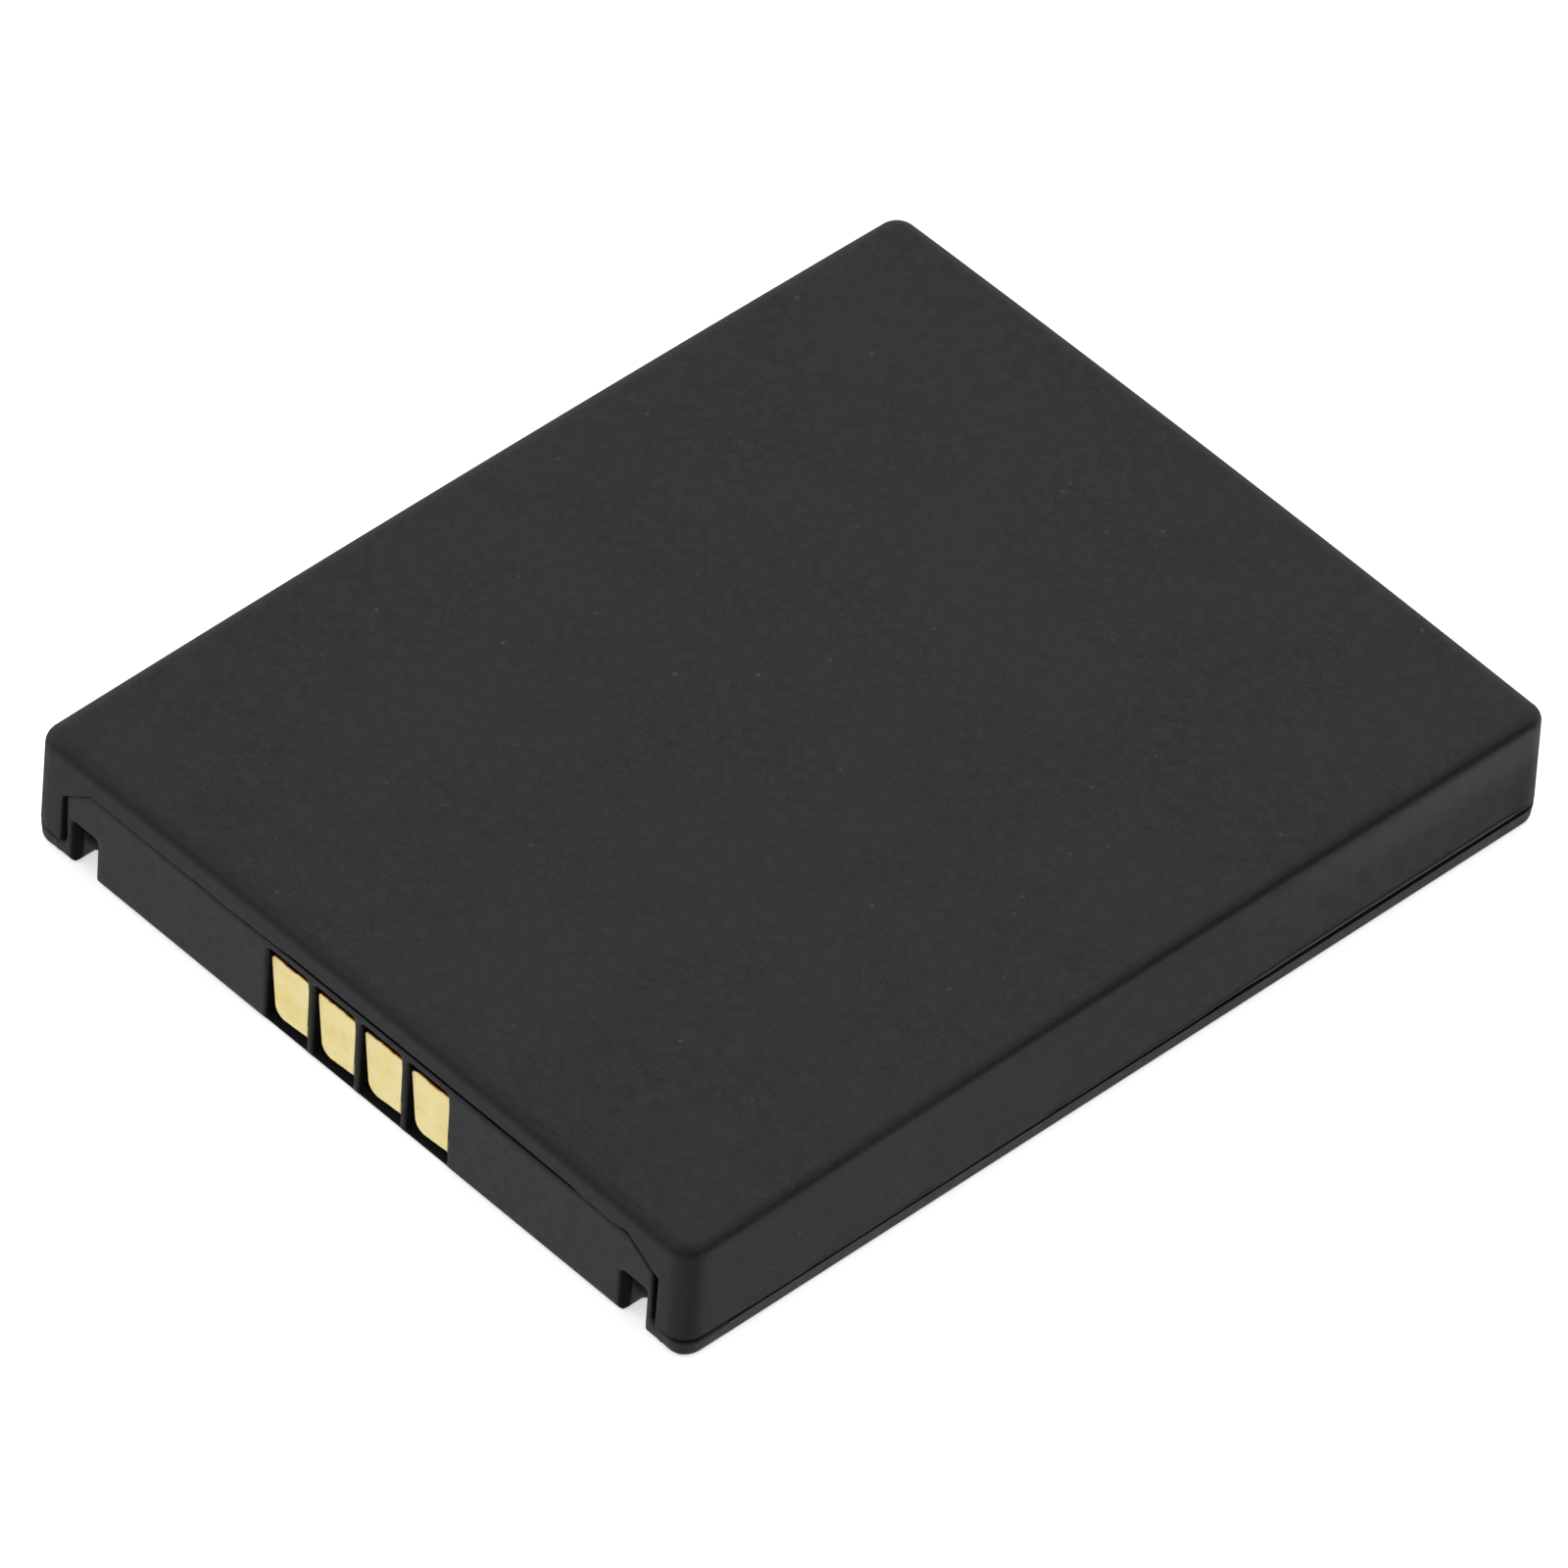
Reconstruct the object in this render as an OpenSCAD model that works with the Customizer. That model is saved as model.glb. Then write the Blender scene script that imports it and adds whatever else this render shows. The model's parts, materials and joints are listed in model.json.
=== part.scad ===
// Rechargeable battery pack for a mobile phone: a crowned moulded cover over a shallow tray
// whose front end carries four contact windows and two locating notches.
// Millimetres. The origin is at the middle of the underside, +Z is up and the contact end
// faces -Y. A "depth" is a distance behind the outline of the contact end.

/* [Housing] */
// Width across the contact end
body_w = 35; // [33:0.5:42]
// Length from the contact end to the back end
body_l = 43.2; // [38:0.5:60]
// Height of the top face at its four corners, before the crown
edge_h = 5.5; // [5.3:0.1:8]
// Rise of the crowned top from its long edges to the middle
crown_across = 0.22; // [0.1:0.02:0.4]
// Rise of the crowned top from its short edges to the middle
crown_along = 0.22; // [0.1:0.02:0.4]
// Radius of the four upright corners
corner_r = 1.0; // [0.95:0.05:2]
// Radius where the walls roll over into the top
roof_edge_r = 0.85; // [0.4:0.05:0.9]
// Draft of the cover walls, in degrees
cover_draft = 0.7; // [0.2:0.1:1.5]
// Thickness of the cover walls
cover_wall = 0.8; // [0.6:0.05:0.85]
// Thickness of the cover roof
roof_wall = 0.45; // [0.35:0.05:0.6]

/* [Seam] */
// Height of the tray strip that shows below the seam
strip_h = 0.78; // [0.6:0.02:0.9]
// Height of the shadow gap between strip and cover
seam_gap = 0.12; // [0.05:0.01:0.15]
// Depth of the shadow gap
seam_depth = 0.25; // [0.1:0.05:0.3]
// Width of the weld tongue on the tray
tongue_w = 0.16; // [0.1:0.02:0.2]
// Height of the weld tongue
tongue_h = 0.3; // [0.2:0.05:0.4]
// Room round the tongue in its groove
tongue_clear = 0.03; // [0.02:0.01:0.04]

/* [Tray] */
// Thickness of the tray floor
floor_t = 0.45; // [0.4:0.05:0.55]
// Radius of the bottom edge
bottom_edge_r = 0.26; // [0.1:0.02:0.3]
// How far the strip leans in from the seam to its bottom edge
strip_lean = 0.06; // [0:0.02:0.12]

/* [Front panel] */
// Width of the panel from foot to foot
panel_w = 31.46; // [31:0.02:31.6]
// Height of the straight top of the panel
panel_h = 4.2; // [3.9:0.1:4.3]
// Width of the sloping corner of the panel
panel_slope_w = 1.35; // [1:0.05:1.6]
// Height of the sloping corner of the panel
panel_slope_h = 0.95; // [0.7:0.05:1.1]
// Set-back of the panel face at its top
panel_in_top = 0.08; // [0.04:0.02:0.12]
// Set-back of the panel face at the underside
panel_in_foot = 0.19; // [0.14:0.01:0.24]
// Depth of the back of the panel wall
panel_back = 0.88; // [0.86:0.02:1.1]
// Width of the dark slot beside each foot
side_slot = 0.29; // [0.15:0.01:0.4]
// Gap along the top of the panel
top_gap = 0.08; // [0.04:0.01:0.12]
// How far the foot of the panel runs on past its sides, below the slots
foot_run = 0.45; // [0.4:0.05:0.6]

/* [Notches] */
// Distance between the middles of the two notches
notch_span = 29.4; // [29.2:0.1:29.5]
// Width of a notch at the panel face
notch_w = 1.52; // [1.3:0.02:1.6]
// Height of a notch above the underside
notch_h = 2.2; // [1.8:0.1:2.6]
// Depth of the back of a notch
notch_back = 1.3; // [1.1:0.05:1.6]
// Chamfer on the upright edges of a notch mouth
notch_chamfer = 0.27; // [0.15:0.01:0.3]
// Rounding of the upper corners of a notch
notch_round = 0.18; // [0.1:0.02:0.3]
// Bevel that leads a lug into a notch from below
notch_lead = 0.15; // [0.05:0.01:0.2]
// Wall between a notch and the inside
notch_wall = 0.5; // [0.4:0.05:0.6]

/* [Contacts] */
// Spacing of the contacts
contact_pitch = 2.5; // [2.4:0.02:2.6]
// Width of a contact window
window_w = 2.16; // [1.9:0.02:2.2]
// Height of the window's upper edge above the underside
window_top = 3.88; // [3.5:0.02:3.9]
// Height of the window sill at the panel face
sill_h = 0.16; // [0.12:0.02:0.3]
// Depth of the contact faces
contact_depth = 0.3; // [0.26:0.02:0.6]
// Height of a contact's upper edge above the underside
contact_top = 3.43; // [3.2:0.01:3.45]
// Height of a contact's lower edge above the underside
contact_foot = 0.6; // [0.55:0.05:0.9]
// How much one side of a contact leans in towards its foot
contact_taper = 0.28; // [0.1:0.02:0.34]
// Radius of the lower corner of a contact's leaning side
contact_r = 0.6; // [0.2:0.02:0.64]
// Radius of the upper corner of that side
contact_top_r = 0.18; // [0.1:0.02:0.3]
// How much a contact's lower edge climbs towards its upright side
contact_rise = 0.1; // [0:0.02:0.2]
// Room between a contact and the walls of its window
contact_clear = 0.02; // [0.01:0.01:0.04]

/* [Cell] */
// Depth of the face of the cell lid, behind the electronics
bay_depth = 3.4; // [3.3:0.1:4.5]
// Room between the cell and the cover walls
cell_clear = 0.2; // [0.15:0.05:0.5]
// Room between the cell and the roof at its edges
roof_clear = 0.1; // [0.05:0.01:0.2]
// Radius of the long edges of the cell
can_r = 1.2; // [0.6:0.1:1.5]
// Thickness of the lid welded into the can
lid_t = 0.8; // [0.6:0.1:1]
// Wall of the can round the lid
can_wall = 0.3; // [0.2:0.05:0.4]
// Thickness of the tape under the cell
tape_t = 0.1; // [0.05:0.01:0.15]
// Border left free round the tape
tape_border = 2.5; // [1.5:0.5:5]
// Width of the foam pad above the cell
foam_w = 18; // [12:1:20]
// Length of the foam pad above the cell
foam_l = 24; // [16:1:28]
// Room between the foam pad and the roof
foam_clear = 0.03; // [0.01:0.01:0.06]

/* [Cell terminals] */
// Radius of the rivet head
rivet_r = 1.0; // [0.9:0.05:1.1]
// Height of the rivet head
rivet_head_t = 0.4; // [0.38:0.01:0.42]
// Radius of the rivet shank
shank_r = 0.55; // [0.5:0.05:0.6]
// Radius of the gasket flange
gasket_r = 1.3; // [1.2:0.05:1.4]
// Thickness of the gasket flange and of its sleeve
gasket_t = 0.15; // [0.14:0.01:0.16]
// Thickness of the insulating card on the lid
card_t = 0.1; // [0.06:0.01:0.12]
// Width of the insulating card
card_w = 29; // [28:0.5:30]
// Room round what passes through the card
card_clear = 0.12; // [0.05:0.01:0.2]
// Radius of the filling plug
plug_r = 0.5; // [0.4:0.05:0.6]
// Distance of the filling plug from the side of the cell
plug_edge = 4.3; // [3.5:0.1:5]

/* [Electronics] */
// Thickness of the protection board
board_t = 0.6; // [0.5:0.05:0.7]
// Room between the board and what holds it
board_clear = 0.08; // [0.05:0.01:0.1]
// Distance of the outer small parts from the middle of the board
part_x = 5.4; // [5.2:0.1:6]
// Share of the board's height at which the lower row of small parts stands
row_share = 0.3; // [0.26:0.01:0.34]
// Width of the nickel strips
strip_w = 2.4; // [2:0.1:2.6]
// Thickness of the nickel strips and pads
strip_t = 0.12; // [0.1:0.01:0.13]
// Distance of the weld pads from the middle
pad_x = 10; // [9.8:0.1:10.2]
// Width of a weld pad
pad_w = 2.6; // [2.4:0.1:2.8]
// Width of the thermal fuse
fuse_w = 3.6; // [3.4:0.1:3.8]
// Distance of the thermal fuse from the middle
fuse_x = 5.2; // [5:0.1:5.3]
// How far a strip laps over an end of the fuse
strip_lap = 0.9; // [0.6:0.1:1.2]
// Width of the nickel-clad block on the lid
block_w = 2.4; // [2.2:0.1:2.6]
// Thickness of the nickel-clad block on the lid
block_t = 0.4; // [0.35:0.05:0.45]
// Distance of the nickel-clad block from the middle
block_x = 7.4; // [7.2:0.1:7.5]

/* [Hidden] */

$fn = 48;

// Outline and heights that the pieces share
half_w = body_w / 2;
half_l = body_l / 2;
front_y = -half_l;
rim_z = strip_h + seam_gap;
cut = 1;

// Steps in each corner arc of the cover, steps along its sides, and rings across its roof
arc_steps = 8;
side_steps = 6;
roof_shares = [0.88, 0.74, 0.58, 0.4, 0.2];
// Least radius that the cover's rings keep
least_r = 0.08;

// Panel and notch edges
panel_side = panel_w / 2;
notch_inner = notch_span / 2 - notch_w / 2;
pocket_side = notch_inner + notch_chamfer - notch_wall;
foot_w = panel_w + 2 * foot_run;

// Cell box
cell_w = body_w - 2 * (cover_wall + cell_clear);
plug_x = cell_w / 2 - plug_edge;
cell_l = body_l - bay_depth - cover_wall - cell_clear;
cell_z = floor_t + tape_t;
cell_top = edge_h - roof_wall - roof_clear;
cell_t = cell_top - cell_z;
mid_z = cell_z + cell_t / 2;

// Board box
board_w = 2 * (pocket_side - board_clear);
board_h = panel_h - board_clear - floor_t;
board_rear = panel_back + board_t;
pad_rear = board_rear + strip_t;
row_low = floor_t + board_h * row_share;
row_high = floor_t + board_h * (1 - row_share);

// Depths of what lies on the cell lid, counted forwards from the lid
rivet_front = bay_depth - gasket_t - rivet_head_t;
card_front = bay_depth - card_t;
block_front = bay_depth - block_t;

// Distance from the seam plane down a drafted wall
function lean(z) = (z - rim_z) * tan(cover_draft);

// Rise of the crown above the edge height at a place on the top
function crown(x, y) =
    crown_across * (1 - pow(x / half_w, 2)) + crown_along * (1 - pow(y / half_l, 2));

// Outline of a rounded rectangle, anticlockwise, with its sides divided so that they can bow
function ring_xy(a, b, r) = [
    for (k = [0:3])
        let (
            sx = (k == 0 || k == 3) ? 1 : -1,
            sy = (k < 2) ? 1 : -1,
            tx = (k == 0 || k == 1) ? -sx : sx,
            start = [sx * (a - r) + r * cos(90 * (k + 1)), sy * (b - r) + r * sin(90 * (k + 1))],
            run = (k % 2 == 0) ? [-2 * sx * (a - r), 0] : [0, -2 * sy * (b - r)]
        )
        each concat(
            [for (i = [0:arc_steps])
                let (t = 90 * (k + i / arc_steps))
                [sx * (a - r) + r * cos(t), sy * (b - r) + r * sin(t)]],
            [for (i = [1:side_steps - 1]) start + run * i / side_steps]
        )
];

// One ring of the cover's skin: its walls pulled in by an inset, its height following the crown
function skin_ring(inset, r, z) = [
    for (p = ring_xy(half_w - inset, half_l - inset, max(r, least_r)))
        [p.x, p.y, z + crown(p.x, p.y)]
];

// All rings of one skin of the cover, from its flat rim up to the last ring round its middle
function skin_rings(inset, top_z, r, edge_r) =
    let (
        wall_in = inset + lean(top_z - edge_r),
        roof = skin_ring(wall_in + edge_r, r - edge_r, top_z)
    )
    concat(
        [[for (p = ring_xy(half_w - inset, half_l - inset, r)) [p.x, p.y, rim_z]]],
        [for (i = [0:arc_steps])
            let (t = 90 * i / arc_steps)
            skin_ring(wall_in + edge_r * (1 - cos(t)), r - edge_r * (1 - cos(t)),
                top_z - edge_r + edge_r * sin(t))],
        [for (s = roof_shares)
            [for (p = roof) [p.x * s, p.y * s, top_z + crown(p.x * s, p.y * s)]]]
    );

// Closed shell between an outer and an inner stack of rings that share a flat foot and a
// number of points: each stack ends in a point in the middle of its roof
module crowned_shell(outer, inner) {
    n = len(outer[0]);
    last = len(outer) - 1;
    inside = n * (last + 1);
    outer_peak = 2 * inside;
    inner_peak = outer_peak + 1;
    step = function (i) (i + 1) % n;
    points = concat(
        [for (ring = outer) each ring], [for (ring = inner) each ring],
        [[0, 0, edge_h + crown(0, 0)], [0, 0, edge_h - roof_wall + crown(0, 0)]]
    );
    outer_walls = [
        for (low = [0:n:n * (last - 1)])
            for (i = [0:n - 1])
                let (m = step(i), high = low + n)
                each [[low + i, high + i, high + m], [low + i, high + m, low + m]]
    ];
    inner_walls = [for (face = outer_walls) [for (p = [2, 1, 0]) face[p] + inside]];
    foot = [
        for (i = [0:n - 1])
            let (m = step(i))
            [i, m, inside + m, inside + i]
    ];
    outer_top = [for (i = [0:n - 1]) [n * last + i, outer_peak, n * last + step(i)]];
    inner_top = [for (face = outer_top) [face[2] + inside, inner_peak, face[0] + inside]];
    polyhedron(points, concat(foot, outer_walls, outer_top, inner_walls, inner_top), convexity = 4);
}

// A profile carried round the outline: x runs outwards from the corner centres, y runs up
module round_outline() {
    a = half_w - corner_r;
    b = half_l - corner_r;
    for (k = [0:3]) {
        reach = (k % 2 == 0) ? a : b;
        run = (k % 2 == 0) ? b : a;
        rotate(90 * k) {
            translate([reach, run, 0])
                rotate([90, 0, 0])
                    linear_extrude(2 * run)
                        children();
            translate([reach, run, 0])
                rotate_extrude(angle = 90)
                    children();
        }
    }
}

// Upright outline pushed back from the contact end: x across, y up, between two depths
module front_prism(depth_from, depth_to) {
    translate([0, front_y + depth_to, 0])
        rotate([90, 0, 0])
            linear_extrude(depth_to - depth_from)
                children();
}

// Box behind the contact end, placed by its middle across, its depths and its heights
module bay_box(x, w, depth_from, depth_to, z_from, z_to) {
    translate([x - w / 2, front_y + depth_from, z_from])
        cube([w, depth_to - depth_from, z_to - z_from]);
}

// Front outline of the panel, grown outwards for the opening that it fills in the cover
module panel_outline(grow_side, grow_top) {
    side = panel_side + grow_side;
    top = panel_h + grow_top;
    knee_x = panel_side - panel_slope_w;
    knee_z = top - panel_slope_h - grow_side * panel_slope_h / panel_slope_w;
    polygon([
        [-side, -cut], [side, -cut], [side, knee_z], [knee_x, top], [-knee_x, top], [-side, knee_z]
    ]);
}

// Side profile of the panel wall: a leaning face that rounds into the underside
module panel_profile() {
    lean_per_mm = (panel_in_foot - panel_in_top) / panel_h;
    face = function (z) panel_in_foot - lean_per_mm * z;
    polygon(concat(
        [[panel_back, 0]],
        [for (t = [90:-15:0])
            [face(bottom_edge_r) + bottom_edge_r * (1 - cos(t)), bottom_edge_r * (1 - sin(t))]],
        [[face(panel_h), panel_h], [panel_back, panel_h]]
    ));
}

// Mouth of one notch seen from the front, with its upper corners rounded
module notch_front() {
    translate([-notch_w / 2, -cut])
        square([notch_w, cut + notch_h - notch_round]);
    translate([-notch_w / 2 + notch_round, -cut])
        square([notch_w - 2 * notch_round, cut + notch_h]);
    for (s = [-1, 1])
        translate([s * (notch_w / 2 - notch_round), notch_h - notch_round])
            circle(notch_round);
}

// Notch seen from above, narrowed by a chamfer behind its mouth: x across, y is the depth
module notch_plan() {
    wide = notch_w / 2;
    slim = wide - notch_chamfer;
    mouth = panel_in_top + (panel_in_foot - panel_in_top) / 2;
    polygon([
        [-wide, -cut], [wide, -cut], [wide, mouth], [slim, mouth + notch_chamfer],
        [slim, notch_back], [-slim, notch_back], [-slim, mouth + notch_chamfer], [-wide, mouth]
    ]);
}

// Bevel round the foot of a notch, on its sides and on its back
module notch_lead_in() {
    slim = notch_w / 2 - notch_chamfer;
    front_prism(-cut, notch_back)
        polygon([
            [-slim - notch_lead - cut, -cut], [slim + notch_lead + cut, -cut],
            [slim, notch_lead], [-slim, notch_lead]
        ]);
    translate([-slim, front_y, 0])
        rotate([90, 0, 90])
            linear_extrude(2 * slim)
                polygon([
                    [0, -cut], [notch_back + notch_lead + cut, -cut],
                    [notch_back, notch_lead], [0, notch_lead]
                ]);
}

module notch_space() {
    for (s = [-1, 1])
        translate([s * notch_span / 2, 0, 0]) {
            intersection() {
                front_prism(-cut, notch_back + cut)
                    notch_front();
                translate([0, front_y, -cut])
                    linear_extrude(2 * cut + notch_h)
                        notch_plan();
            }
            notch_lead_in();
        }
}

// Profile of the tray's strip, of the land that the cover stands on, and of the weld tongue
module strip_profile() {
    land = corner_r - seam_depth;
    inner = corner_r - cover_wall;
    tongue_x = inner + (land - inner) / 2;
    edge_x = corner_r - strip_lean - bottom_edge_r;
    polygon(concat(
        [[0, 0]],
        [for (t = [0:15:90])
            [edge_x + bottom_edge_r * sin(t), bottom_edge_r * (1 - cos(t))]],
        [
            [corner_r, strip_h], [land, strip_h], [land, rim_z],
            [tongue_x + tongue_w / 2, rim_z], [tongue_x + tongue_w / 2, rim_z + tongue_h],
            [tongue_x - tongue_w / 2, rim_z + tongue_h], [tongue_x - tongue_w / 2, rim_z],
            [inner, rim_z], [inner, floor_t], [0, floor_t]
        ]
    ));
}

// Profile of the groove in the cover's rim
module groove_profile() {
    land = corner_r - seam_depth;
    inner = corner_r - cover_wall;
    groove_w = tongue_w + 2 * tongue_clear;
    translate([inner + (land - inner) / 2 - groove_w / 2, rim_z - cut])
        square([groove_w, cut + tongue_h + tongue_clear]);
}

// Space of one contact window: open at the face, with a sill that climbs to the board
module window_space(x) {
    translate([x - window_w / 2, front_y, 0])
        rotate([90, 0, 90])
            linear_extrude(window_w)
                polygon([
                    [-cut, sill_h], [panel_in_foot, sill_h], [panel_back, floor_t],
                    [panel_back + cut, floor_t], [panel_back + cut, window_top],
                    [-cut, window_top]
                ]);
}

function contact_x(i) = (i - 2.5) * contact_pitch;

// Smooth deep shell with a crowned roof, drafted walls and an opening for the panel
module top_cover() {
    inner_r = max(corner_r - cover_wall, 3 * least_r);
    color("#3a3a3b")
        difference() {
            crowned_shell(
                skin_rings(0, edge_h, corner_r, roof_edge_r),
                skin_rings(cover_wall, edge_h - roof_wall, inner_r, inner_r)
            );
            front_prism(-cut, cover_wall + 3 * least_r)
                panel_outline(side_slot, top_gap);
            round_outline()
                groove_profile();
        }
}

// Floor, strip and front panel in one moulding, with its windows, notches and inner stops
module base_tray() {
    stop_w = 0.6;
    stop_h = floor_t + board_h / 2;
    color("#414142")
        difference() {
            union() {
                difference() {
                    round_outline()
                        strip_profile();
                    // The land and the tongue stop beside the slots, the strip beside the foot
                    bay_box(0, 2 * (panel_side + side_slot), -cut, cover_wall + cut,
                        strip_h, rim_z + tongue_h + cut);
                    bay_box(0, foot_w, -cut, cover_wall, -cut, strip_h);
                }
                translate([-half_w + corner_r, -half_l + corner_r, 0])
                    cube([body_w - 2 * corner_r, body_l - 2 * corner_r, floor_t]);
                intersection() {
                    front_prism(0, corner_r) {
                        panel_outline(0, 0);
                        translate([-foot_w / 2, -cut])
                            square([foot_w, cut + strip_h]);
                    }
                    translate([-foot_w / 2, front_y, 0])
                        rotate([90, 0, 90])
                            linear_extrude(foot_w)
                                panel_profile();
                }
                bay_box(0, panel_w, panel_back - panel_in_top, corner_r + panel_in_top, 0, floor_t);
                // Pockets that close the notches off from the inside
                for (s = [-1, 1])
                    bay_box(s * (pocket_side + panel_side) / 2, panel_side - pocket_side,
                        cover_wall / 2, notch_back + notch_wall, 0, notch_h + notch_wall);
                // Stops behind the board and in front of the cell
                for (s = [-1, 1]) {
                    bay_box(s * (pocket_side - stop_w), stop_w, board_rear + board_clear,
                        board_rear + board_clear + stop_w, floor_t / 2, stop_h);
                    bay_box(s * (cell_w / 2 - can_r), stop_w, bay_depth - 2 * stop_w - board_clear,
                        bay_depth - board_clear, floor_t / 2, mid_z);
                }
            }
            notch_space();
            for (i = [1:4])
                window_space(contact_x(i));
        }
}

// Gold-plated contact: one side upright, the other leaning in to a rounded lower corner
module contact(i) {
    side = window_w / 2 - contact_clear;
    foot_x = contact_taper - side;
    color("#e8da96")
        translate([contact_x(i), 0, 0])
            front_prism(contact_depth, panel_back)
                polygon(concat(
                    [[side, contact_foot + contact_rise], [side, contact_top]],
                    [for (t = [90:-15:0])
                        [-side + contact_top_r * (1 - cos(t)), contact_top - contact_top_r * (1 - sin(t))]],
                    [for (t = [0:10:90])
                        [foot_x + contact_r * (1 - cos(t)), contact_foot + contact_r * (1 - sin(t))]]
                ));
}

// Upright circuit board between the notch pockets, standing on the tray floor
module protection_board() {
    color("#1d4a33")
        bay_box(0, board_w, panel_back, board_rear, floor_t, floor_t + board_h);
}

// Chip on the back of the board, with a row of leads above and below its body
module chip(x, w, h, t, leads, lead_w) {
    z = floor_t + board_h / 2;
    lead_out = 0.35;
    lead_t = 0.15;
    union() {
        bay_box(x, w, board_rear, board_rear + t, z - h / 2, z + h / 2);
        for (i = [0:leads - 1])
            bay_box(x + ((i + 0.5) / leads - 0.5) * w, lead_w, board_rear, board_rear + lead_t,
                z - h / 2 - lead_out, z + h / 2 + lead_out);
    }
}

module protection_chip() {
    color("#17181a")
        chip(x = -2.6, w = 1.6, h = 1.6, t = 0.75, leads = 3, lead_w = 0.28);
}

module switch_chip() {
    color("#1b1c1e")
        chip(x = 2.1, w = 3, h = 2.2, t = 0.8, leads = 4, lead_w = 0.3);
}

// Two-ended part lying along the board, with plated ends a little larger than its body
module chip_part(x, z, l, w, t) {
    end_l = 0.3;
    skin = 0.03;
    union() {
        bay_box(x, l - end_l, board_rear, board_rear + t - skin, z - w / 2 + skin, z + w / 2 - skin);
        for (s = [-1, 1])
            bay_box(x + s * (l - end_l) / 2, end_l, board_rear, board_rear + t, z - w / 2, z + w / 2);
    }
}

module sense_resistor() {
    color("#26282b")
        chip_part(x = part_x, z = row_low, l = 1.6, w = 0.8, t = 0.45);
}

module ident_resistor() {
    color("#26282b")
        chip_part(x = -part_x, z = row_low, l = 1.6, w = 0.8, t = 0.45);
}

module thermistor() {
    color("#5a3a2a")
        chip_part(x = -part_x, z = row_high, l = 1.6, w = 0.8, t = 0.6);
}

module supply_capacitor() {
    color("#9a7a52")
        chip_part(x = -0.2, z = row_high, l = 1.0, w = 0.5, t = 0.5);
}

module output_capacitor() {
    color("#9a7a52")
        chip_part(x = part_x, z = row_high, l = 1.6, w = 0.8, t = 0.8);
}

// Nickel plate soldered to the back of the board, where a strip is welded on
module weld_pad(s) {
    color("#c9c7c0")
        bay_box(s * pad_x, pad_w, board_rear, pad_rear, mid_z - strip_w / 2, mid_z + strip_w / 2);
}

// Cross-section of the cell: a box with rounded long edges, shrunk by a wall
module cell_section(wall) {
    r = can_r - wall;
    w = cell_w - 2 * wall;
    t = cell_t - 2 * wall;
    translate([-w / 2 + r, -t / 2])
        square([w - 2 * r, t]);
    translate([-w / 2, -t / 2 + r])
        square([w, t - 2 * r]);
    for (sx = [-1, 1])
        for (sz = [-1, 1])
            translate([sx * (w / 2 - r), sz * (t / 2 - r)])
                circle(r);
}

// Aluminium can of the cell, closed by its lid at the contact end
module cell_can() {
    color("#c3c6ca")
        difference() {
            translate([0, 0, mid_z])
                front_prism(bay_depth, bay_depth + cell_l)
                    cell_section(0);
            translate([0, 0, mid_z])
                front_prism(bay_depth - cut, bay_depth + lid_t)
                    cell_section(can_wall);
        }
}

// Round pin or hole along the length of the cell, between two depths
module bay_rod(x, r, depth_from, depth_to) {
    translate([x, front_y + depth_to, mid_z])
        rotate([90, 0, 0])
            cylinder(h = depth_to - depth_from, r = r);
}

module cell_lid() {
    color("#d0d3d6")
        difference() {
            translate([0, 0, mid_z])
                front_prism(bay_depth, bay_depth + lid_t)
                    cell_section(can_wall);
            bay_rod(0, shank_r + gasket_t, bay_depth - cut, bay_depth + lid_t + cut);
            bay_rod(plug_x, plug_r, bay_depth - cut, bay_depth + lid_t + cut);
        }
}

module rivet_gasket() {
    color("#2f5fa8")
        difference() {
            union() {
                bay_rod(0, gasket_r, bay_depth - gasket_t, bay_depth);
                bay_rod(0, shank_r + gasket_t, bay_depth - gasket_t, bay_depth + lid_t);
            }
            bay_rod(0, shank_r, bay_depth - cut, bay_depth + lid_t + cut);
        }
}

module negative_rivet() {
    color("#d8d6cf")
        union() {
            bay_rod(0, rivet_r, rivet_front, bay_depth - gasket_t);
            bay_rod(0, shank_r, rivet_front, bay_depth + lid_t);
        }
}

module filling_plug() {
    color("#b9bcc0")
        bay_rod(plug_x, plug_r, bay_depth, bay_depth + lid_t);
}

module positive_block() {
    color("#c9c7c0")
        bay_box(block_x, block_w, block_front, bay_depth,
            mid_z - strip_w / 2, mid_z + strip_w / 2);
}

// Insulating card on the lid, open round the rivet and round the clad block
module lid_card() {
    slack = 2 * card_clear;
    color("#e9e4d2")
        difference() {
            bay_box(0, card_w, card_front, bay_depth, cell_z + can_wall, cell_top - can_wall);
            bay_rod(0, gasket_r + card_clear, card_front - cut, bay_depth + cut);
            bay_box(block_x, block_w + slack, card_front - cut, bay_depth + cut,
                mid_z - (strip_w + slack) / 2, mid_z + (strip_w + slack) / 2);
        }
}

// Flat thermal fuse between the rivet's strip and the board's strip
module thermal_fuse() {
    color("#e3b23c")
        bay_box(-fuse_x, fuse_w, rivet_front, card_front, mid_z - strip_w / 2, mid_z + strip_w / 2);
}

// Folded strip seen from above: straight runs between points given as [across, depth]
module folded_strip(points) {
    color("#cfccc4")
        translate([0, front_y, mid_z - strip_w / 2])
            linear_extrude(strip_w)
                for (i = [0:len(points) - 2]) {
                    step = points[i + 1] - points[i];
                    translate(points[i])
                        rotate(atan2(step.y, step.x))
                            translate([0, -strip_t / 2])
                                square([norm(step), strip_t]);
                    if (i > 0)
                        translate(points[i])
                            circle(strip_t / 2);
                }
}

module negative_strip() {
    y = rivet_front - strip_t / 2;
    folded_strip([[rivet_r, y], [-fuse_x + fuse_w / 2 - strip_lap, y]]);
}

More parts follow.
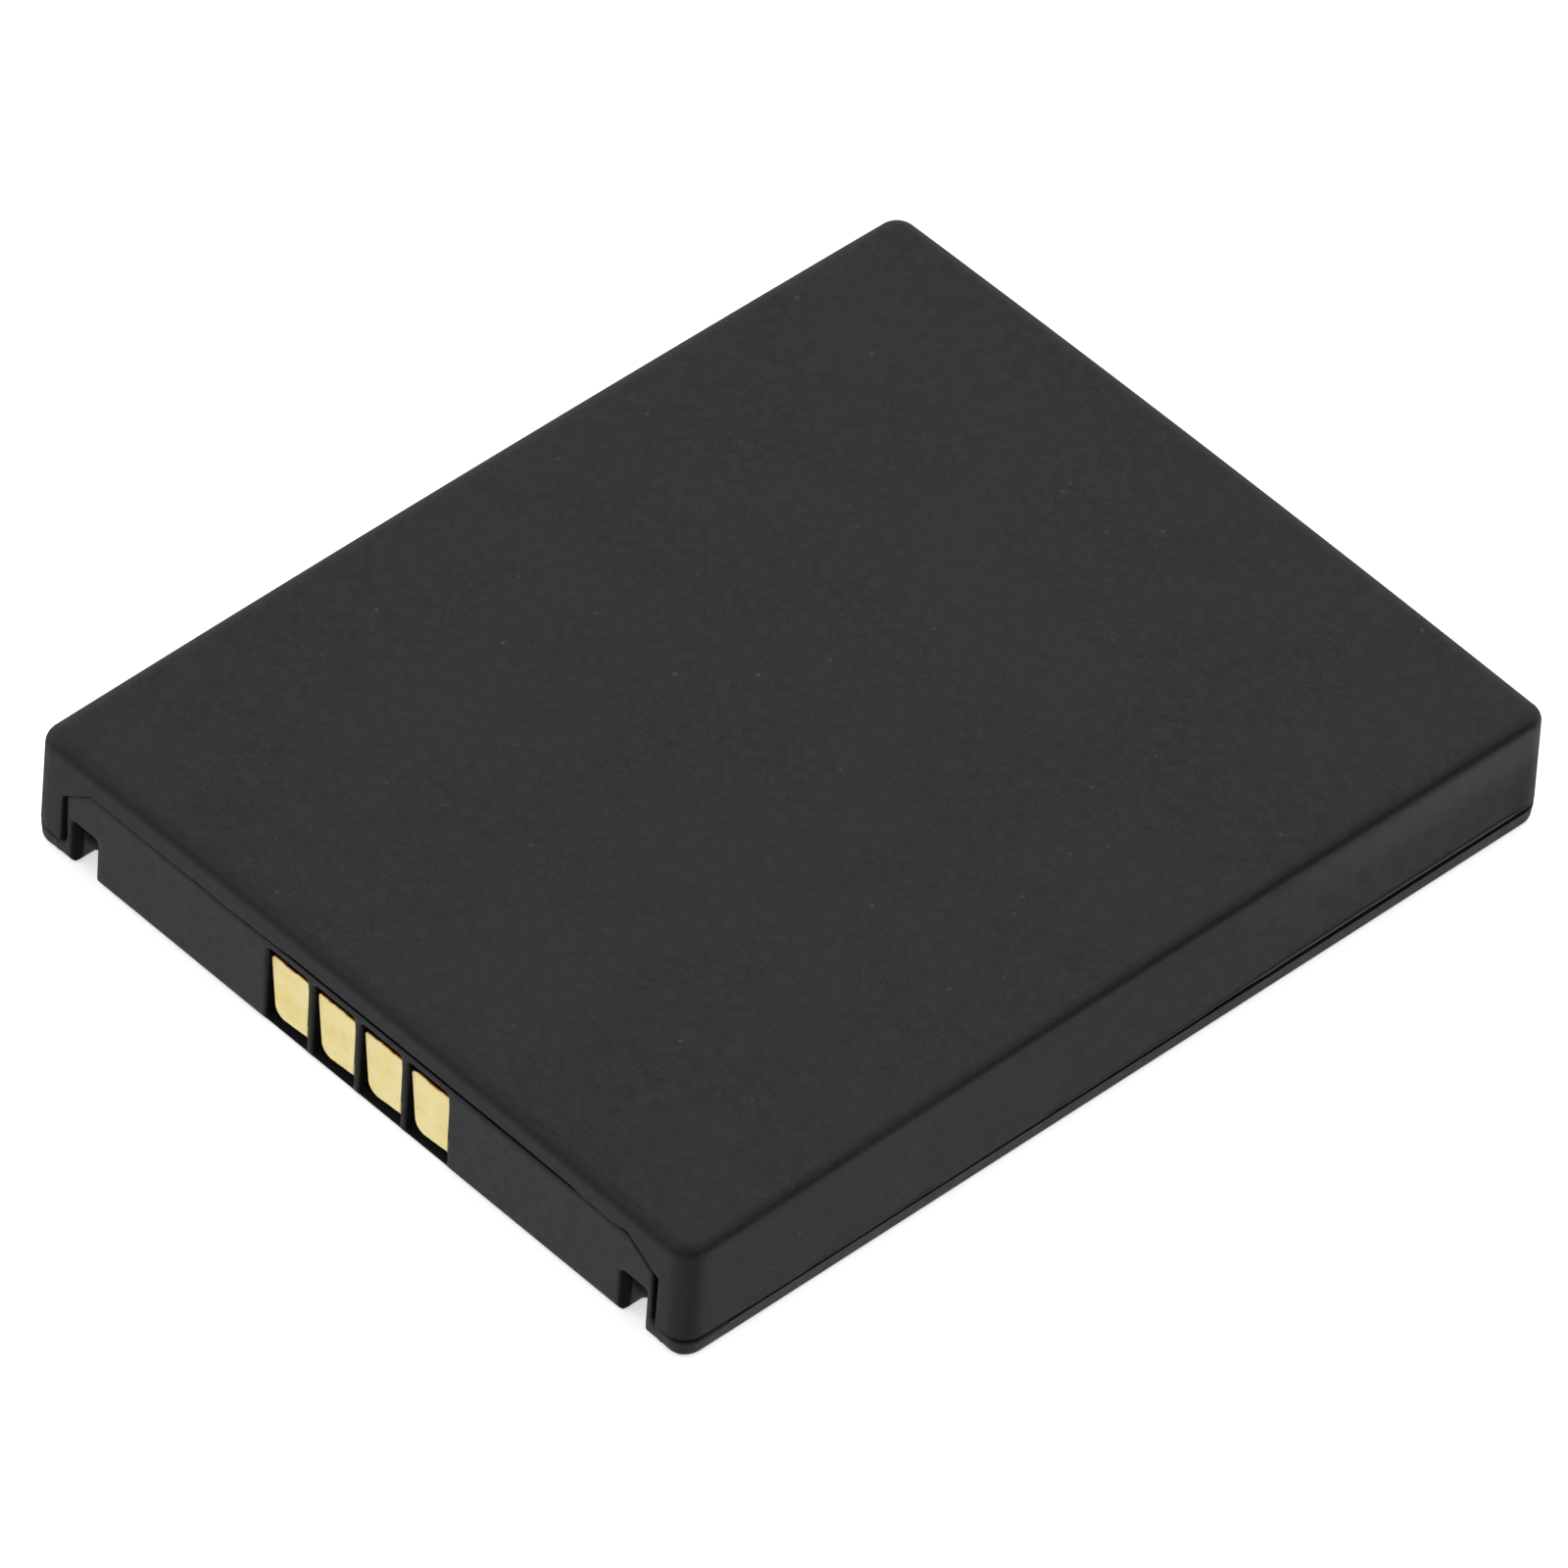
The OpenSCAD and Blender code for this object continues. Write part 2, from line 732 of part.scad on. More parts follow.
module fuse_strip() {
    y = rivet_front - strip_t / 2;
    bend_x = pad_x - pad_w / 2 + strip_t;
    folded_strip([
        [-fuse_x - fuse_w / 2 + strip_lap, y], [-bend_x, y],
        [-bend_x, pad_rear + strip_t / 2], [-pad_x - pad_w / 2, pad_rear + strip_t / 2]
    ]);
}

module positive_strip() {
    y = block_front - strip_t / 2;
    bend_x = pad_x - pad_w / 2 + 2 * strip_t;
    folded_strip([
        [block_x - block_w / 2, y], [bend_x, y],
        [bend_x, pad_rear + strip_t / 2], [pad_x + pad_w / 2, pad_rear + strip_t / 2]
    ]);
}

module cell_tape() {
    w = cell_w - 2 * (can_r + tape_border);
    l = cell_l - 2 * tape_border;
    color("#ece7da")
        translate([-w / 2, front_y + bay_depth + tape_border, floor_t])
            cube([w, l, tape_t]);
}

// Foam pad that fills the crown above the cell
module foam_pad() {
    pad_t = roof_clear + crown(foam_w / 2, foam_l / 2) - foam_clear;
    color("#4a4a4e")
        translate([-foam_w / 2, -foam_l / 2, cell_top])
            cube([foam_w, foam_l, pad_t]);
}

top_cover();
base_tray();
contact(1);  // contact_1
contact(2);  // contact_2
contact(3);  // contact_3
contact(4);  // contact_4
protection_board();
protection_chip();
switch_chip();
sense_resistor();
ident_resistor();
thermistor();
supply_capacitor();
output_capacitor();
weld_pad(-1);  // negative_pad
weld_pad(1);  // positive_pad
cell_can();
cell_lid();
negative_rivet();
rivet_gasket();
filling_plug();
positive_block();
lid_card();
thermal_fuse();
negative_strip();
fuse_strip();
positive_strip();
cell_tape();
foam_pad();
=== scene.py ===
"""Looks of a mobile phone battery: a matte black moulded pack with four gold contacts.

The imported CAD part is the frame. The cover is modelled again with rounded edges and the uneven
seam of a real weld. The tray is the CAD solid, its front end remeshed and its other edges
bevelled. The contacts are modelled again on their CAD outlines, and the pieces inside keep their
CAD shapes. Lengths are millimetres unless a name ends in _m.
"""
import json
import math

import bmesh
import bpy
from mathutils import Matrix, Vector


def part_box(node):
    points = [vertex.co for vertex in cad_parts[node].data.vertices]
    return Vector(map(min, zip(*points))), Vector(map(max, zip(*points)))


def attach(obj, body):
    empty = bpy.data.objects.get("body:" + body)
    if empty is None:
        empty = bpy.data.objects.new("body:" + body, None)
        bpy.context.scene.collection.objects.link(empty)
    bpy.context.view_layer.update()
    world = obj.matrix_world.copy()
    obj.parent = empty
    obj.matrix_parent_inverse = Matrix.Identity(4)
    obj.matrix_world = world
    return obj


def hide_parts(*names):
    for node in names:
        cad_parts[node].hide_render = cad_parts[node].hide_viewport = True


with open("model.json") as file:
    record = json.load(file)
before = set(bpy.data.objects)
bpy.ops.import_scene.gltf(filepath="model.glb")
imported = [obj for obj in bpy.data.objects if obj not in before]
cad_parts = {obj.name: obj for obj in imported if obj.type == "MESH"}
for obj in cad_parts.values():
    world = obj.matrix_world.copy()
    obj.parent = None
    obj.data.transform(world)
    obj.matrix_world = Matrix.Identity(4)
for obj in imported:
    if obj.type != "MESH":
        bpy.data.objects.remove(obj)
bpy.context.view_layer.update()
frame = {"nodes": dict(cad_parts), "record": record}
nodes = frame["nodes"]
MM = 0.001

# Sizes read from the frame
cover_low, cover_high = (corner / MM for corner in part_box("top_cover"))
tray_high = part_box("base_tray")[1] / MM
half_w = cover_high.x
half_l = cover_high.y
rim_z = cover_low.z
panel_h = tray_high.z

# Sizes of the moulding that a box doesn't give
corner_r = 1.0
roof_edge_r = {"front": 0.62, "right": 0.48, "back": 0.85, "left": 0.85}
edge_h = 5.5
crown_across = 0.22
crown_along = 0.22
wall_lean = math.tan(math.radians(0.7))
cover_wall = 0.8
roof_wall = 0.45
panel_side = 15.73
left_slot = 0.1
right_slot = 0.3
top_gap = 0.08
slope_w = 1.35
slope_h = 0.95
groove_depths = (0.365, 0.585)
groove_h = 0.33
seam_depth = 0.25
lip_r = 0.035


# Camera

def aim(azimuth, elevation):
    """Direction from the object to a place seen at an azimuth and an elevation, in degrees."""
    az, el = math.radians(azimuth), math.radians(elevation)
    return Vector((math.sin(az) * math.cos(el), -math.cos(az) * math.cos(el), math.sin(el)))


view_dir = aim(43.911, 44.839)
view_roll = math.radians(4.318)
view_distance = 741.4
aim_right = -0.1725
aim_up = 1.4717
sensor_mm = 36.0
focal_mm = 465.6
clip_start_m = 0.01
clip_end_m = 20


def make_camera():
    flat_right = (-view_dir).cross(Vector((0, 0, 1))).normalized()
    flat_up = flat_right.cross(-view_dir)
    right = math.cos(view_roll) * flat_right + math.sin(view_roll) * flat_up
    up = -math.sin(view_roll) * flat_right + math.cos(view_roll) * flat_up
    data = bpy.data.cameras.new("camera")
    data.sensor_width = sensor_mm
    data.lens = focal_mm
    data.clip_start = clip_start_m
    data.clip_end = clip_end_m
    camera = bpy.data.objects.new("camera", data)
    turn = Matrix((right, up, view_dir)).transposed().to_4x4()
    place = (view_dir * view_distance + right * aim_right + up * aim_up) * MM
    camera.matrix_world = Matrix.Translation(place) @ turn
    bpy.context.scene.collection.objects.link(camera)
    bpy.context.scene.camera = camera


# Meshes

def crown(x, y):
    """Rise of the crowned top at a place."""
    return crown_across * (1 - (x / half_w) ** 2) + crown_along * (1 - (y / half_l) ** 2)


def keyed(keys, t):
    """Smooth value between (place, value) keys."""
    if t <= keys[0][0]:
        return keys[0][1]
    for (t0, v0), (t1, v1) in zip(keys, keys[1:]):
        if t <= t1:
            s = (t - t0) / (t1 - t0)
            return v0 + (v1 - v0) * s * s * (3 - 2 * s)
    return keys[-1][1]


def clamp(value):
    """A value held between 0 and 1."""
    return min(1.0, max(0.0, value))


# How far the cover's edge lies above or below its true line, by the place along the edge
panel_gap_keys = [
    (-16.1, -0.06), (-14.75, -0.06), (-14.45, -0.02), (-14.3, -0.055), (-13.9, -0.02), (-13.5, 0.0),
    (-9, 0.02), (-8.6, 0.05), (-8.2, 0.03), (-6.3, 0.03), (-5.9, 0.07), (-5.4, 0.05), (-4.4, 0.09),
    (-3.2, 0.16), (2, 0.18), (8, 0.18), (11.2, 0.14), (12.2, 0.02), (12.7, 0.05), (13.2, 0.0),
    (13.7, 0.02), (14.0, 0.1), (14.4, 0.1), (15.2, 0.15), (16.1, 0.22),
]
seam_keys = {
    "front": [(-16.5, 0.07), (-15.5, -0.02), (15.5, -0.02), (16.5, 0.06)],
    "right": [
        (-20.6, 0.06), (-19, 0.02), (-17.8, -0.02), (-17.4, 0.0), (-17, -0.02), (-15.5, -0.02),
        (-15.2, 0.01), (-14.8, -0.02), (-10, -0.02), (-9.6, 0.0), (-9.2, -0.015), (-3.6, -0.01),
        (-3.2, 0.02), (-2.8, -0.01), (3.6, 0.0), (5.2, 0.06), (6.4, 0.07), (7.3, 0.04),
        (8.4, 0.07), (14, 0.08), (20.6, 0.06),
    ],
    "back": [(-16.5, 0.02), (-8, -0.01), (-2, 0.03), (6, 0.0), (16.5, 0.05)],
    "left": [
        (-20.6, 0.08), (-19, 0.03), (-12, -0.02), (-10.5, 0.03), (-9, -0.01), (2, -0.01),
        (6, 0.04), (20.6, 0.02),
    ],
}

# The lip that the weld left over the seam keeps to the cover's line, and the wall over it stands
# back. The rows hold a height over the rim and the share of the lip's reach that it has there.
# The keys hold that reach by the place along the edge. At the highlight reach the lip gets its full
# painted highlight.
lip_rows = [(0.0, 0.6), (0.04, 0.95), (0.08, 1.0), (0.125, 0.0), (0.22, 0.0)]
lip_keys = {
    "right": [
        (-20.6, 0.0), (-16, 0.0), (-15, 0.02), (-13, 0.0), (-9.6, 0.03), (-9, 0.0), (-4.4, 0.0),
        (-3.2, 0.03), (-2, 0.01), (2, 0.02), (6, 0.04), (8, 0.06), (19.8, 0.06), (20.6, 0.0),
    ],
    "left": [(-20.6, 0.0), (8, 0.0), (12, 0.02), (19.8, 0.02), (20.6, 0.0)],
}
highlight_reach = 0.06


def spread(start, stop, step, extra=()):
    """Even places from start to stop, with some further places put in."""
    count = max(1, round(abs(stop - start) / step))
    places = [start + (stop - start) * i / count for i in range(count + 1)]
    kept = [p for p in places if all(abs(p - e) > step / 4 for e in extra)]
    return sorted(kept + list(extra), reverse=stop < start)


class Column:
    """One upright line round the cover: a centre in plan and a direction outwards from it."""

    def __init__(self, x, y, angle, side, place, roof_r):
        self.centre = Vector((x, y, 0))
        self.roof_r = roof_r
        self.out = Vector((math.cos(angle), math.sin(angle), 0))
        self.along = Vector((-self.out.y, self.out.x, 0))
        self.side = side
        self.place = place

    def at(self, inset, z):
        """The point that lies so far inside the cover's outline, at a height."""
        point = self.centre + self.out * (corner_r - inset)
        return Vector((point.x, point.y, z))


# Ends of the cover's opening, where the panel's slope begins, and how closely the columns stand
slots_x = (-panel_side - left_slot, panel_side + right_slot)
knee_x = panel_side - slope_w
column_steps = {"front": 0.3, "right": 0.35, "back": 0.9, "left": 0.6}
arc_steps = 10


def cover_columns():
    """The cover's columns, anticlockwise from the left end of the contact end."""
    a = half_w - corner_r
    b = half_l - corner_r
    front = spread(-a, a, column_steps["front"], (slots_x[0], -knee_x, knee_x, slots_x[1]))
    sides = [
        ("front", [(x, -b, x) for x in front], -90),
        ("right", [(a, y, y) for y in spread(-b, b, column_steps["right"])], 0),
        ("back", [(x, b, x) for x in spread(a, -a, column_steps["back"])], 90),
        ("left", [(-a, y, y) for y in spread(b, -b, column_steps["left"])], 180),
    ]
    columns = []
    for n, (side, places, angle) in enumerate(sides):
        here = roof_edge_r[side]
        turned = roof_edge_r[sides[(n + 1) % len(sides)][0]] - here
        columns += [Column(x, y, math.radians(angle), side, t, here) for x, y, t in places]
        x, y, t = places[-1]
        for i in range(1, arc_steps):
            turn = math.radians(angle + 90 * i / arc_steps)
            columns.append(Column(x, y, turn, side, t, here + turned * i / arc_steps))
    return columns


def seam_lift(column):
    """How far the cover's rim lies above its true line at a column."""
    return keyed(seam_keys[column.side], column.place)


def lip_reach(column):
    """How far the lip over the seam stands out at a column."""
    return keyed(lip_keys[column.side], column.place) if column.side in lip_keys else 0.0


def opening_z(x):
    """Height of the cover's edge over the panel."""
    top = panel_h + top_gap + keyed(panel_gap_keys, x)
    return top - max(0.0, abs(x) - knee_x) * slope_h / slope_w


def lathe_faces(grid, count, open_at):
    """Quads between the rows of a grid of count columns that closes on itself, open at the holes."""
    faces = []
    for row, (low, high) in enumerate(zip(grid, grid[1:])):
        for i in range(count):
            if not open_at(row, i):
                k = (i + 1) % count
                faces.append((low[i], low[k], high[k], high[i]))
    return faces


# Rows of the cover's mesh: the wall up to the opening's top and over it, the roof's fillet, the
# roof's rings by their share of its outline, and the steps of the rounded edge
low_rows = 8
high_rows = 5
wall_rows = low_rows + high_rows
fillet_rows = 10
roof_shares = (0.965, 0.9, 0.8, 0.66, 0.48, 0.26)
lip_arc_steps = 4
same_place = 1e-6
no_length = 1e-9


def wall_z(c, row, inside):
    """Height of a wall row: the low ones end at the opening's top, the others under the roof."""
    p = c.at(0, 0)
    top = edge_h - (roof_wall if inside else c.roof_r) + crown(p.x, p.y)
    low = rim_z + seam_lift(c)
    held = min(max(c.place if c.side == "front" else p.x, slots_x[0]), slots_x[1])
    split = opening_z(held)
    if row < len(lip_rows):
        return low + lip_rows[row][0]
    if row <= low_rows:
        shoulder = low + lip_rows[-1][0]
        rows_over_lip = low_rows - len(lip_rows) + 1
        return shoulder + (split - shoulder) * (row - len(lip_rows) + 1) / rows_over_lip
    return split + (top - split) * (row - low_rows) / high_rows


def wall_inset(c, row):
    """How far a wall row stands back: by the wall's lean, and over the lip by the lip's reach."""
    z = wall_z(c, row, False)
    share = lip_rows[row][1] if row < len(lip_rows) else 0.0
    left_of_wall = 1 - (z - rim_z) / (wall_z(c, wall_rows, False) - rim_z)
    return wall_lean * (z - rim_z) + (1 - share) * lip_reach(c) * left_of_wall


def roof_point(c, inset, z):
    """The point of a column that lies so far inside the outline, raised by the crown."""
    p = c.at(inset, z)
    p.z += crown(p.x, p.y)
    return p


def edge_step(c, start, end):
    """Direction between two points of the border: the part along the wall and the part up."""
    d = end - start
    flat = Vector((d.x, d.y, 0)).length * (1 if d.dot(c.along) > -no_length else -1)
    return Vector((flat, d.z)).normalized()


def edge_offsets(run, columns):
    """The way out of the material at each point of the border, mitred between its two steps."""
    offsets = []
    for k, (i, row, p) in enumerate(run):
        c = columns[i]
        e0 = edge_step(c, run[k - 1][2], p)
        e1 = edge_step(c, p, run[(k + 1) % len(run)][2])
        n0, n1 = Vector((e0.y, -e0.x)), Vector((e1.y, -e1.x))
        mitre = (n0 + n1) / (1 + n0.dot(n1))
        offsets.append(c.along * mitre.x + Vector((0, 0, mitre.y)))
    return offsets


def cover_mesh():
    """The cover: an outer and an inner skin, and a rounded edge round its rim and its opening.

    Gives its points, its faces and how much painted highlight each point of the lip gets.
    """
    columns = cover_columns()
    count = len(columns)
    flat_front = [c.side == "front" and c.out.y == -1 for c in columns]
    over_panel = [
        f and slots_x[0] + same_place < c.place < slots_x[1] - same_place
        for f, c in zip(flat_front, columns)
    ]
    beside = [
        f and min(abs(c.place - x) for x in slots_x) < same_place
        for f, c in zip(flat_front, columns)
    ]

    verts, outer, inner = [], [], []
    wear_and_highlight = {}

    def add(p):
        verts.append(p)
        return len(verts) - 1

    for row in range(wall_rows + 1):
        outer.append([add(c.at(wall_inset(c, row), wall_z(c, row, False))) for c in columns])
        # Share of the lip's painted highlight
        if row < len(lip_rows):
            for v, c in zip(outer[-1], columns):
                wear_and_highlight[v] = lip_rows[row][1] * lip_reach(c) / highlight_reach
        inner.append([add(c.at(cover_wall, wall_z(c, row, True))) for c in columns])
    for i in range(1, fillet_rows + 1):
        t = math.pi / 2 * i / fillet_rows
        ring = []
        for c in columns:
            inset = wall_lean * (edge_h - c.roof_r - rim_z) + c.roof_r * (1 - math.cos(t))
            ring.append(add(roof_point(c, inset, edge_h - c.roof_r * (1 - math.sin(t)))))
        outer.append(ring)
    for grid, top in ((outer, edge_h), (inner, edge_h - roof_wall)):
        last = [verts[i].copy() for i in grid[-1]]
        for share in roof_shares:
            ring = []
            for p in last:
                x, y = p.x * share, p.y * share
                ring.append(add(Vector((x, y, top + crown(x, y)))))
            grid.append(ring)

    def hole(row, i):
        k = (i + 1) % count
        return row < low_rows and (over_panel[i] or over_panel[k])

    faces = lathe_faces(outer, count, hole)
    faces += [tuple(reversed(f)) for f in lathe_faces(inner, count, hole)]
    for grid, top, order in ((outer, edge_h, 1), (inner, edge_h - roof_wall, -1)):
        peak = add(Vector((0, 0, top + crown(0, 0))))
        for i in range(count):
            faces.append((grid[-1][i], grid[-1][(i + 1) % count], peak)[::order])

    # The open border: along the rim, up one slot, over the panel and down the other slot
    border = []
    for i, c in enumerate(columns):
        if over_panel[i]:
            border.append((i, low_rows))
        elif beside[i]:
            rows = range(0, low_rows + 1)
            border += [(i, r) for r in (rows if c.place < 0 else reversed(rows))]
        else:
            border.append((i, 0))

    # Pull the border back by the radius of its edge, then carry rounded loops round it
    run = [(i, row, verts[outer[row][i]].copy()) for i, row in border]
    offsets = edge_offsets(run, columns)
    loops = []
    for j in range(lip_arc_steps + 1):
        t = math.pi / 2 * j / lip_arc_steps
        loop = []
        for (i, row, p), away in zip(run, offsets):
            q = p - away * lip_r * (1 - math.sin(t)) - columns[i].out * lip_r * (1 - math.cos(t))
            if j == 0:
                verts[outer[row][i]] = q
                loop.append(outer[row][i])
            else:
                loop.append(add(q))
        loops.append(loop)
    rim_steps = [
        (seam_depth, 0), (groove_depths[0], 0), (groove_depths[0], groove_h),
        (groove_depths[1], groove_h), (groove_depths[1], 0),
    ]
    for depth, rise in rim_steps:
        loop = []
        for i, row, p in run:
            rim = row == 0 and not beside[i]
            base = rim_z if rim else p.z
            foot = columns[i].at(depth, base + (rise if rim else 0))
            loop.append(add(foot))
        loops.append(loop)
    loops.append([inner[row][i] for i, row, p in run])
    for i, row, p in run:
        if row == 0:
            verts[inner[0][i]].z = rim_z
    n = len(run)
    for upper, lower in zip(loops, loops[1:]):
        for k in range(n):
            m = (k + 1) % n
            faces.append((upper[k], lower[k], lower[m], upper[m]))
    used = sorted({v for f in faces for v in f})
    index = {v: place for place, v in enumerate(used)}
    faces = [tuple(index[v] for v in f) for f in faces]
    return [verts[v] for v in used], faces, [wear_and_highlight.get(v, 0.0) for v in used]


def mesh_object(name, verts, faces):
    """An object from points in millimetres."""
    mesh = bpy.data.meshes.new(name)
    mesh.from_pydata([tuple(Vector(v) * MM) for v in verts], [], faces)
    mesh.validate()
    obj = bpy.data.objects.new(name, mesh)
    bpy.context.scene.collection.objects.link(obj)
    return obj


large_face_weight = 80


def smooth(obj, sharp_deg):
    """Smooth shading that breaks at sharp edges and follows the larger faces."""
    bm = bmesh.new()
    bm.from_mesh(obj.data)
    for face in bm.faces:
        face.smooth = True
    for edge in bm.edges:
        turn = edge.calc_face_angle(0.0) if len(edge.link_faces) == 2 else 0.0
        edge.smooth = turn < math.radians(sharp_deg)
    bm.to_mesh(obj.data)
    bm.free()
    weight = obj.modifiers.new("weighted_normals", "WEIGHTED_NORMAL")
    weight.keep_sharp = True
    weight.weight = large_face_weight


# The tray's front end: depth that is remeshed, depth remeshed and cut off again, size of a voxel,
# and share of the faces that is kept
front_depth = 2.3
spare_depth = 0.5
voxel = 0.05
kept_share = 0.3

# Its rounding: the passes, how many of them take the whole end, and how far the others draw back
# from the joint with the rest of the tray
rounding_passes = 18
rounding_factor = 0.5
joint_passes = 4
joint_fade = 0.7

# The panel's foot: where it ends, how its face runs out into the lower strip beside it, how high
# its sharper lower edge reaches, and how deep that strip lies at the most
foot_end = 16.18
foot_fade = 1.2
foot_step = 0.12
foot_sharp = 0.4
strip_depth = 0.3

# The rest of the tray: its bevel, the edges that get one, and faces that count as one
tray_bevel = 0.05
bevel_over_deg = 22
one_face_deg = 0.4
joint_margin = 0.01

# Painted shade in recesses: the depth at which each begins to be shaded, and over what depth it gets
# so
window_from, window_fade = 0.12, 0.15
crest_from, crest_fade = 0.1, 0.06
notch_from, notch_fade = 0.08, 0.15

# Where they lie: the windows, the back of the crest, the slots beside the panel, and in each notch
# the wall beside an edge, which is light again at the notch's back
windows_end = 4.95
sill_z = 0.12
crest_band = 0.04
slot_shade = 0.18
slot_fade = 0.12
notch_edges = (-15.46, 13.94)
notch_wall = (-0.03, 0.32)
notch_h = 2.2
notch_back = 0.75
notch_back_fade = 0.2

weld_dist = 0.0005
cut_dist = 0.0001


def solid_copy(node):
    """The mesh of a CAD solid in millimetres."""
    bm = bmesh.new()
    bm.from_mesh(nodes[node].data)
    bmesh.ops.scale(bm, vec=Vector((1, 1, 1)) / MM, verts=bm.verts)
    bmesh.ops.remove_doubles(bm, verts=bm.verts, dist=weld_dist)
    return bm


def cut_across(bm, depth, keep_front):
    """Cuts a closed mesh at a depth behind the contact end, keeps one side and closes it again."""
    cut = bmesh.ops.bisect_plane(
        bm, geom=bm.verts[:] + bm.edges[:] + bm.faces[:], dist=cut_dist,
        plane_co=(0, depth - half_l, 0), plane_no=(0, 1, 0),
        clear_outer=keep_front, clear_inner=not keep_front)
    rim = [e for e in cut["geom_cut"] if isinstance(e, bmesh.types.BMEdge)]
    bmesh.ops.triangle_fill(bm, edges=rim, use_beauty=True)


def modified(bm, kind, **settings):
    """A mesh taken through one modifier."""
    mesh = bpy.data.meshes.new("step")
    bm.to_mesh(mesh)
    obj = bpy.data.objects.new("step", mesh)
    bpy.context.scene.collection.objects.link(obj)
    modifier = obj.modifiers.new("step", kind)
    for key, value in settings.items():
        setattr(modifier, key, value)
    shown = obj.evaluated_get(bpy.context.evaluated_depsgraph_get())
    bm.clear()
    bm.from_mesh(shown.data)
    bpy.data.objects.remove(obj)
    bpy.data.meshes.remove(mesh)


def tray_front():
    """The tray's front end as a closed mesh, remeshed so that every edge is rounded."""
    front = solid_copy("base_tray")
    cut_across(front, front_depth + spare_depth, True)
    modified(front, "REMESH", mode="VOXEL", voxel_size=voxel, adaptivity=0)
    for v in front.verts:
        away = (abs(v.co.x) - foot_end) / foot_fade
        if 0 < away < 1 and v.co.z < rim_z and v.co.y < strip_depth - half_l:
            v.co.y += foot_step * (1 - away * away * (3 - 2 * away))
    for i in range(rounding_passes):
        share = max(0, i - joint_passes) / (rounding_passes - joint_passes)
        taken = [
            v for v in front.verts
            if i < joint_passes or (
                v.co.y < front_depth - half_l - joint_fade * share
                and abs(v.co.x) < foot_end + foot_fade * (1 - share)
                and (v.co.z > foot_sharp * share or abs(v.co.x) < windows_end))
        ]
        bmesh.ops.smooth_vert(
            front, verts=taken, factor=rounding_factor,
            use_axis_x=True, use_axis_y=True, use_axis_z=True)
    modified(front, "DECIMATE", ratio=kept_share)
    cut_across(front, front_depth, True)
    return front


def tray_rest():
    """The rest of the tray as a closed mesh with bevelled edges."""
    rest = solid_copy("base_tray")
    cut_across(rest, front_depth, False)
    bmesh.ops.dissolve_limit(
        rest, angle_limit=math.radians(one_face_deg), verts=rest.verts, edges=rest.edges,
        use_dissolve_boundaries=False)
    edges = [
        e for e in rest.edges
        if len(e.link_faces) == 2 and e.calc_face_angle(0.0) > math.radians(bevel_over_deg)
        and min(v.co.y for v in e.verts) > front_depth - half_l + joint_margin
    ]
    bmesh.ops.bevel(
        rest, geom=edges, offset=tray_bevel, offset_type="OFFSET", segments=2, profile=0.5,
        affect="EDGES", clamp_overlap=True, miter_outer="ARC", miter_inner="SHARP")
    return rest


def recess_share(p):
    """How much painted shade a point of the tray gets."""
    depth = p.y + half_l
    if depth >= front_depth:
        return 0.0
    if p.z < notch_h and any(notch_wall[0] < p.x - edge < notch_wall[1] for edge in notch_edges):
        lit_back = clamp((notch_back - depth) / notch_back_fade)
        return clamp((depth - notch_from) / notch_fade) * lit_back
    if abs(p.x) < windows_end and p.z > sill_z:
        dark = clamp((depth - window_from) / window_fade)
    elif p.z > rim_z:
        dark = clamp((abs(p.x) - panel_side + slot_shade) / slot_fade)
    else:
        dark = 0.0
    behind_crest = p.z > panel_h - crest_band
    return max(dark, clamp((depth - crest_from) / crest_fade)) if behind_crest else dark


def tray_object():
    """The tray in one object, its recesses marked for painted shade."""
    front, rest = tray_front(), tray_rest()
    mesh = bpy.data.meshes.new("rest")
    rest.to_mesh(mesh)
    rest.free()
    front.from_mesh(mesh)
    bpy.data.meshes.remove(mesh)
    front.verts.index_update()
    verts = [v.co.copy() for v in front.verts]
    faces = [tuple(v.index for v in f.verts) for f in front.faces]
    front.free()
    tray = mesh_object("tray_shell", verts, faces)
    recess = tray.data.attributes.new("recess", "FLOAT", "POINT")
    for p, value in zip(verts, recess.data):
        value.value = recess_share(p)
    return tray


# Contact plates: their rounded edge, the spacing of the points round it, how flat the CAD face is,
# how sharply the edge's painted highlight turns to painted shade where it faces up, and how much
# facing right counts for that
plate_edge_r = 0.07
plate_edge_steps = 4
plate_step = 0.05
plate_flat = 0.01
upper_gain = 1.5
upper_right = 0.6

# Their stamped edges: how far the wavy top rises over the outline and falls, and how far the foot
# is torn
wave_rise = 0.03
wave_size = 0.045
torn_size = 0.022


def plate_outline(node):
    """Evenly spaced places round a contact's face, each with its way outwards, and its depths."""
    bm = solid_copy(node)
    depth = min(v.co.y for v in bm.verts)
    back = max(v.co.y for v in bm.verts)
    face = [Vector((v.co.x, v.co.z)) for v in bm.verts if v.co.y < depth + plate_flat]
    bm.free()
    middle = sum(face, Vector((0, 0))) / len(face)
    face.sort(key=lambda p: math.atan2(p.y - middle.y, p.x - middle.x))
    places = []
    for p, q in zip(face, face[1:] + face[:1]):
        steps = max(1, round((q - p).length / plate_step))
        places += [p.lerp(q, i / steps) for i in range(steps)]
    outline = []
    for i, p in enumerate(places):
        along = places[(i + 1) % len(places)] - places[i - 1]
        outline.append((p, Vector((along.y, -along.x)).normalized()))
    return outline, depth, back


def ragged(p, way, number):
    """How far a stamped edge falls short of its outline: a wavy top and a torn foot."""
    wave = 0.5 + 0.5 * math.sin(5.1 * p.x + 1.7 * number + 0.8 * math.sin(9.3 * p.x + number))
    torn = 0.5 + 0.5 * math.sin(61 * p.x + 2.3 * number + 1.9 * math.sin(23 * p.x + 47 * p.y))
    top = (wave_size * wave - wave_rise) * max(0.0, way.y)
    return top + torn_size * torn * max(0.0, -way.y)


